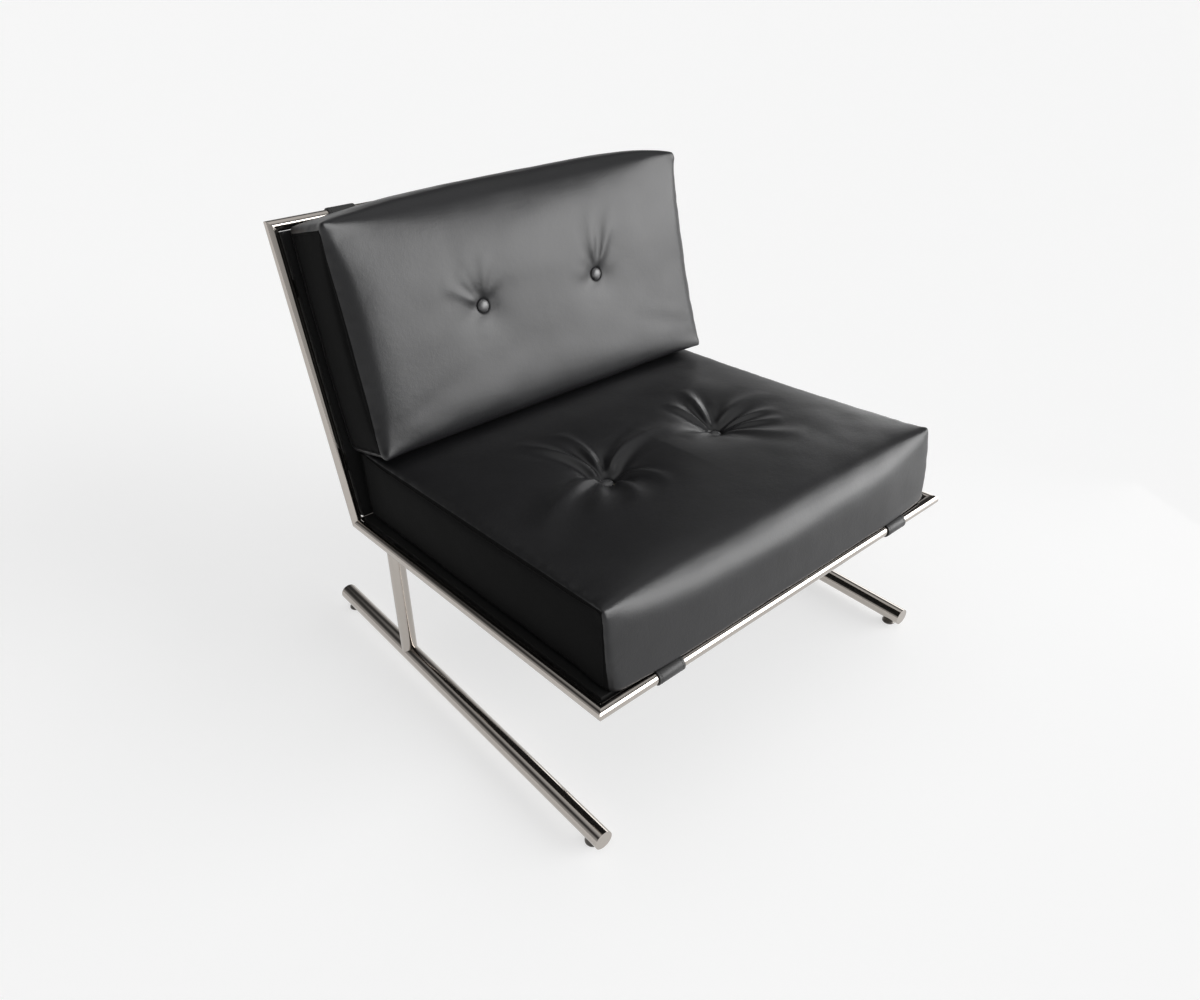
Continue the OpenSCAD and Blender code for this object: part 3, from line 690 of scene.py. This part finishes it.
def fill_cushion(block, cushion):
    """Blows the sewn block up with cloth simulation, then keeps the shape and drops the cloth."""
    start = coordinates(block)
    held = held_share(cushion, start)
    group = block.vertex_groups.new(name="held")
    group.add([int(i) for i in np.nonzero(held > 0.5)[0]], 1.0, "REPLACE")
    pick(block)
    modifier = block.modifiers.new("filling", "CLOTH")
    fabric = modifier.settings
    fabric.vertex_group_mass = "held"
    fabric.use_pressure = True
    fabric.uniform_pressure_force = FILL_PRESSURE
    fabric.effector_weights.gravity = 0
    modifier.collision_settings.use_collision = False
    modifier.point_cache.frame_start = 1
    modifier.point_cache.frame_end = FILL_STEPS
    for step in range(1, FILL_STEPS + 1):
        bpy.context.scene.frame_set(step)
    bpy.ops.object.modifier_apply(modifier="filling")
    bpy.context.scene.frame_set(1)
    block.vertex_groups.clear()
    filled = coordinates(block)
    set_coordinates(block, start)
    outward = normals(block)
    reach = ((filled - start) * outward).sum(axis=1)
    reach = FILL_CAP * np.tanh(reach / FILL_CAP)
    detail = spread_out(block, reach, 4) - spread_out(block, reach, 60)
    detail = DETAIL_LIMIT * np.tanh(detail / (2.5 * DETAIL_LIMIT))
    rise = fullness(cushion, start, outward) + detail * (1 - held)
    set_coordinates(block, start + outward * rise[:, None])


def fullness(cushion, points, outward):
    """How far the filling pushes each panel out: most in its middle, nothing at its edges."""
    low, high = cushion.block
    place = (points - np.array(low)) / np.array(high - low) * 2 - 1
    power = np.full_like(place, PANEL_POWER)
    if cushion.arch:
        power[:, 1] = np.where(place[:, 1] < 0, BACK_FOOT_POWER, PANEL_POWER)
    left = np.clip(1 - np.abs(place) ** power, 0, 1)
    top = cushion.crown * left[:, 0] * left[:, 1] * ease(outward[:, 2], 0.0, 0.8)
    side = SIDE_FULLNESS * left[:, 1] * left[:, 2] * ease(np.abs(outward[:, 0]), 0.3, 0.9)
    front = FRONT_FULLNESS if cushion.name == "seat" else SIDE_FULLNESS
    front = np.where(place[:, 1] < 0, front, SIDE_FULLNESS)
    end = front * left[:, 0] * left[:, 2] * ease(np.abs(outward[:, 1]), 0.3, 0.9)
    return top + side + end


def fold_height(cushion, x, y):
    """Height of the folds that the two buttons pull up round them."""
    height = np.zeros_like(x)
    for side, (tuft_x, tuft_y) in cushion.tufts().items():
        across, along = x - tuft_x, y - tuft_y
        radius = np.hypot(across, along)
        turn = np.degrees(np.arctan2(along, across))
        for first, last, length, rise, width in cushion.folds[side]:
            share = np.clip(radius / (length * MM), 0, 1)
            centre = first + (last - first) * share
            off = np.radians((turn - centre + 180) % 360 - 180) * radius
            spread = width * (0.7 + 1.5 * share) * MM * cushion.fold_width
            ridge = np.exp(-(off / spread) ** 2)
            flank = np.exp(-((np.abs(off) - 2.1 * spread) / (1.2 * spread)) ** 2)
            along_fold = ease(radius, 7 * MM, 30 * MM) * (1 - share) ** 0.9
            height += rise * MM * along_fold * (ridge - 0.35 * flank) * cushion.fold_rise
    return height


def tuft_dip(cushion, x, y):
    """How far the buttons pull the panel down."""
    total = np.zeros_like(x)
    for tuft_x, tuft_y in cushion.tufts().values():
        radius = np.hypot(x - tuft_x, y - tuft_y)
        away = np.maximum(radius - 8 * MM, 0)
        total = np.maximum(total, cushion.dip * np.exp(-away / cushion.dip_spread))
        total += cushion.pit * (1 - ease(radius, BUTTON_R - MM, BUTTON_R + 3 * MM))
    return total


def shape_panel(block, cushion):
    """Arches the far end, sinks the buttons, raises the folds and adds slight unevenness."""
    points = coordinates(block)
    low, high = cushion.block
    middle_z = (low.z + high.z) / 2
    across = np.clip(points[:, 0] / high.x, -1, 1)
    end, drop, reach = cushion.droop
    inward = high.y - points[:, 1] if end > 0 else points[:, 1] - low.y
    droop = drop * np.clip(1 - inward / reach, 0, 1) ** 2 * (1 - np.abs(across) ** 4)
    left_drop, right_drop, reach = cushion.side_droop
    drop = np.where(across < 0, left_drop, right_drop)
    inward = high.x - np.abs(points[:, 0])
    lengthwise = np.clip((points[:, 1] * 2 - low.y - high.y) / (high.y - low.y), -1, 1)
    along_edge = (1 - lengthwise ** 8) * (0.65 + 0.35 * lengthwise)
    droop += drop * np.exp(-np.maximum(inward, 0) / reach) * along_edge
    points[:, 2] -= droop * ease(points[:, 2], middle_z, high.z)
    if cushion.arch:
        rise = (1 - np.abs(across) ** np.where(across > 0, 8, 3.2)) * (0.85 + 0.15 * across)
        rise *= ease(points[:, 1], (low.y + high.y) / 2, high.y)
        points[:, 1] += cushion.arch * rise
    on_top = ease(points[:, 2], high.z - 45 * MM, high.z - 12 * MM)
    x, y = points[:, 0], points[:, 1]
    points[:, 2] += on_top * (fold_height(cushion, x, y) - tuft_dip(cushion, x, y))
    set_coordinates(block, points)
    outward = normals(block)
    swell = np.array([noise.noise(Vector(p) * 9.0) + 0.5 * noise.noise(Vector(p) * 23.0) for p in points])
    tug = np.array([noise.noise(Vector((p[1] * 70, p[2] * 70, p[0]))) for p in points])
    at_side = ease(np.abs(points[:, 0]), high.x - 22 * MM, high.x - 4 * MM)
    off_seam = panel_depth(cushion, points) - cushion.seam_inset
    at_seam = np.exp(-(off_seam / (11 * MM)) ** 2) * at_side
    set_coordinates(block, points + outward * (swell * UNEVEN + tug * at_seam * PUCKER)[:, None])


def press_cushions(block, cushion):
    """Flattens the base on its deck, and the two cushions where they meet."""
    points = coordinates(block)
    points[:, 2] = np.maximum(points[:, 2], cushion.low.z)
    foot = BACK_CUSHION.low.y
    if cushion.name == "seat":
        to_back = np.array(BACK.inverted() @ SEAT)
        height = points @ to_back[1, :3] + to_back[1, 3]
        over = np.maximum(height - (foot - 0.4 * MM), 0)
        points -= over[:, None] * to_back[1, :3]
    else:
        points[:, 1] = np.maximum(points[:, 1], foot)
    set_coordinates(block, points)


def dress_gussets(block, cushion):
    """The side panels take a copy of the leatherette with almost no shine, so that they render darker:
    painted shade for the dim sides.
    """
    block.data.materials.append(CUSHION_LEATHER)
    block.data.materials.append(GUSSET_LEATHER_PAINTED_SHADE)
    count = len(block.data.polygons)
    centres = np.empty(count * 3)
    block.data.polygons.foreach_get("center", centres)
    centres = centres.reshape(-1, 3)
    at_side = np.abs(centres[:, 0]) > cushion.block[1].x - MM
    inside = panel_depth(cushion, centres) > cushion.seam_inset
    block.data.polygons.foreach_set("material_index", (at_side & inside).astype(np.int32))


SEAM_R = 1.1 * MM
SEAM_STEP = 6 * MM
SEAM_TURN = 9 * MM
SEAM_TURN_STEPS = 4
REAR_SEAM_EXTRA = 8 * MM


def seam_outline(cushion):
    """Points round a side panel, in the deck's Y and Z."""
    low, high = cushion.block
    inset = cushion.seam_inset
    rear = inset + (REAR_SEAM_EXTRA if cushion.arch else 0)
    y0, y1 = low.y + inset + SEAM_TURN, high.y - inset - SEAM_TURN
    z0, z1 = low.z + rear + SEAM_TURN, high.z - inset - SEAM_TURN
    corners = ((y1, z1, 0), (y0, z1, 1), (y0, z0, 2), (y1, z0, 3))
    stops = []
    for y, z, quarter in corners:
        for step in range(SEAM_TURN_STEPS + 1):
            angle = math.pi / 2 * (quarter + step / SEAM_TURN_STEPS)
            stops.append((y + SEAM_TURN * math.cos(angle), z + SEAM_TURN * math.sin(angle)))
    outline = []
    for here, ahead in zip(stops, stops[1:] + stops[:1]):
        count = max(1, round(math.dist(here, ahead) / SEAM_STEP))
        outline += [[a + (b - a) * i / count for a, b in zip(here, ahead)] for i in range(count)]
    return outline


def tube_along(name, points, radius, closed=True):
    """A thin round tube along points, made from a curve."""
    curve = bpy.data.curves.new(name, "CURVE")
    curve.dimensions = "3D"
    curve.bevel_depth = radius
    curve.bevel_resolution = 2
    spline = curve.splines.new("POLY")
    spline.points.add(len(points) - 1)
    for stop, point in zip(spline.points, points):
        stop.co = (*point, 1)
    spline.use_cyclic_u = closed
    piece = bpy.data.objects.new(name, curve)
    bpy.context.collection.objects.link(piece)
    pick(piece)
    bpy.ops.object.convert(target="MESH")
    return bpy.context.object


def surface_of(block):
    """The cushion's surface, ready to be asked where it lies."""
    return BVHTree.FromPolygons(
        [vertex.co for vertex in block.data.vertices],
        [list(face.vertices) for face in block.data.polygons],
    )


def sew_seams(block, cushion):
    """A rolled seam round each side panel, laid on the finished surface."""
    surface = surface_of(block)
    beside = cushion.block[1].x + 14 * MM
    for side, sign in SIDES.items():
        points = [surface.find_nearest(Vector((sign * beside, y, z)))[0] for y, z in seam_outline(cushion)]
        before, after = points[-1:] + points[:-1], points[1:] + points[:1]
        eased = [(a + b * 2 + c) / 4 for a, b, c in zip(before, points, after)]
        seam = tube_along(f"{cushion.name}_{side}_seam", eased, SEAM_R)
        place_on(seam, cushion.deck)
        smooth(seam, 60)
        finish(seam, cushion.name + "_cushion", GUSSET_LEATHER_PAINTED_SHADE)


BUTTON_DOME = 5 * MM
BUTTON_PLEATS = 14


def set_buttons(block, cushion):
    """Two leather covered buttons, pulled down into the panel. Their leatherette is lighter and glossier
    than the cushion's, a painted highlight on the domes.
    """
    surface = surface_of(block)
    buttons = []
    for side, (x, y) in cushion.tufts().items():
        rim = []
        for step in range(12):
            angle = math.tau * step / 12
            spot = Vector((x + BUTTON_R * math.cos(angle), y + BUTTON_R * math.sin(angle), 0))
            above = spot + Vector((0, 0, cushion.high.z + 50 * MM))
            rim.append(surface.ray_cast(above, Vector((0, 0, -1)))[0].z)
        deselect()
        bpy.ops.mesh.primitive_uv_sphere_add(segments=56, ring_count=24, radius=BUTTON_R)
        button = bpy.context.object
        button.name = f"{cushion.name}_button_{side}"
        points = coordinates(button)
        out = np.hypot(points[:, 0], points[:, 1])
        turn = np.arctan2(points[:, 1], points[:, 0])
        points[:, 2] *= BUTTON_DOME / BUTTON_R
        pleat = 1 + 0.022 * np.cos(turn * BUTTON_PLEATS) * ease(out, 0.8 * BUTTON_R, BUTTON_R)
        points[:, :2] *= pleat[:, None]
        points += np.array((x, y, sum(rim) / len(rim) + 0.6 * cushion.pit))
        set_coordinates(button, points)
        buttons.append(button)
    pick(buttons[0])
    buttons[1].select_set(True)
    bpy.ops.object.join()
    pair = bpy.context.object
    pair.name = cushion.name + "_covered_buttons"
    place_on(pair, cushion.deck)
    smooth(pair, 60)
    finish(pair, cushion.name + "_cushion", BUTTON_LEATHER_PAINTED_HIGHLIGHT, [cushion.name + "_buttons"])


def make_cushion(cushion):
    block = sewn_block(cushion)
    fill_cushion(block, cushion)
    add_modifier(block, "SUBSURF", levels=1, render_levels=1)
    top = cushion.block[1].z

    def near_tuft(middles):
        above = middles[:, 2] > top - 15 * MM
        close = np.zeros(len(middles), dtype=bool)
        for tuft_x, tuft_y in cushion.tufts().values():
            close |= np.hypot(middles[:, 0] - tuft_x, middles[:, 1] - tuft_y) < 80 * MM
        return above & close

    subdivide_near(block, near_tuft)
    shape_panel(block, cushion)
    press_cushions(block, cushion)
    sew_seams(block, cushion)
    set_buttons(block, cushion)
    place_on(block, cushion.deck)
    pick(block)
    bpy.ops.object.shade_smooth()
    finish(block, cushion.name + "_cushion", None, [cushion.name + "_cushion_cover"])


# Straps round the front and top rails

STRAP_WIDTH = 48 * MM
STRAP_THICKNESS = 2.5 * MM
STRAP_EDGE = 0.7 * MM
STRAP_X = 265 * MM
STRAP_TAIL = 52 * MM
STRAP_INNER_R = RAIL_R + 0.1 * MM
STITCH_INSET = 4.5 * MM
STITCH_PITCH = 4.5 * MM
STITCH_SIZE = (1.8 * MM, 0.6 * MM)
STITCH_SINK = 0.3 * MM


def rail_frame(origin, towards, out):
    """A rail's own frame: Y from the rail along the deck, Z out of the deck."""
    y = (towards - origin).normalized()
    x = y.cross(out)
    turn = Matrix(((x.x, y.x, out.x), (x.y, y.y, out.y), (x.z, y.z, out.z)))
    return Matrix.Translation(origin) @ turn.to_4x4()


def strap_band(name, x):
    """The band round the rail, and its doubled tail under the deck."""
    deselect()
    bpy.ops.mesh.primitive_cylinder_add(
        vertices=72, radius=STRAP_INNER_R + STRAP_THICKNESS, depth=STRAP_WIDTH, end_fill_type="NOTHING",
        location=(x, 0, 0), rotation=(0, math.pi / 2, 0),
    )
    band = bpy.context.object
    band.name = name
    bpy.ops.object.transform_apply(location=True, rotation=True, scale=True)
    add_modifier(band, "SOLIDIFY", thickness=STRAP_THICKNESS, offset=-1)
    bevel_sharp(band, STRAP_EDGE, 3)
    low = Vector((x - STRAP_WIDTH / 2, STRAP_INNER_R + 0.8 * MM, -2 * STRAP_THICKNESS))
    tail = add_cube(name + "_tail", low, Vector((x + STRAP_WIDTH / 2, STRAP_TAIL, 0)))
    bevel_sharp(tail, STRAP_EDGE, 3)
    pick(band)
    tail.select_set(True)
    bpy.ops.object.join()
    return bpy.context.object


def strap_stitches(name, x):
    """Two rows of stitches round the band, near its edges."""
    radius = STRAP_INNER_R + STRAP_THICKNESS
    count = round(math.tau * radius / STITCH_PITCH)
    deselect()
    rows = []
    for row in (-1, 1):
        for step in range(count):
            angle = math.tau * step / count
            bpy.ops.mesh.primitive_uv_sphere_add(segments=8, ring_count=6, radius=1)
            stitch = bpy.context.object
            along = Vector((0, -math.sin(angle), math.cos(angle)))
            out = Vector((0, math.cos(angle), math.sin(angle)))
            side = Vector((1, 0, 0))
            turn = Matrix(((along.x, side.x, out.x), (along.y, side.y, out.y), (along.z, side.z, out.z)))
            spot = out * (radius - STITCH_SINK) + side * (x + row * (STRAP_WIDTH / 2 - STITCH_INSET))
            size = Matrix.Diagonal((STITCH_SIZE[0], STITCH_SIZE[1], STITCH_SIZE[1], 1))
            stitch.data.transform(Matrix.Translation(spot) @ turn.to_4x4() @ size)
            rows.append(stitch)
    deselect()
    for stitch in rows:
        stitch.select_set(True)
    bpy.context.view_layer.objects.active = rows[0]
    bpy.ops.object.join()
    stitches = bpy.context.object
    stitches.name = name + "_stitches"
    return stitches


def make_straps():
    rails = {
        "front": rail_frame(FRONT, BEND, SEAT.to_3x3() @ Vector((0, 0, 1))),
        "top": rail_frame(TOP, BEND, BACK.to_3x3() @ Vector((0, 0, 1))),
    }
    for rail, place in rails.items():
        turned = 1 if rail == "front" else -1
        for side, sign in SIDES.items():
            name = f"{rail}_leather_strap_{side}"
            x = turned * sign * STRAP_X
            band = strap_band(name, x)
            place_on(band, place)
            smooth(band, 40)
            finish(band, "frame", STRAP_LEATHER, [f"{rail}_strap_{side}"])
            stitches = strap_stitches(name, x)
            place_on(stitches, place)
            smooth(stitches, 60)
            finish(stitches, "frame", THREAD)


def main():
    bpy.context.scene.view_settings.view_transform = "Standard"
    set_camera()
    lay_floor()
    light_studio()
    dress_cad_nodes()
    make_straps()
    make_cushion(SEAT_CUSHION)
    make_cushion(BACK_CUSHION)


main()
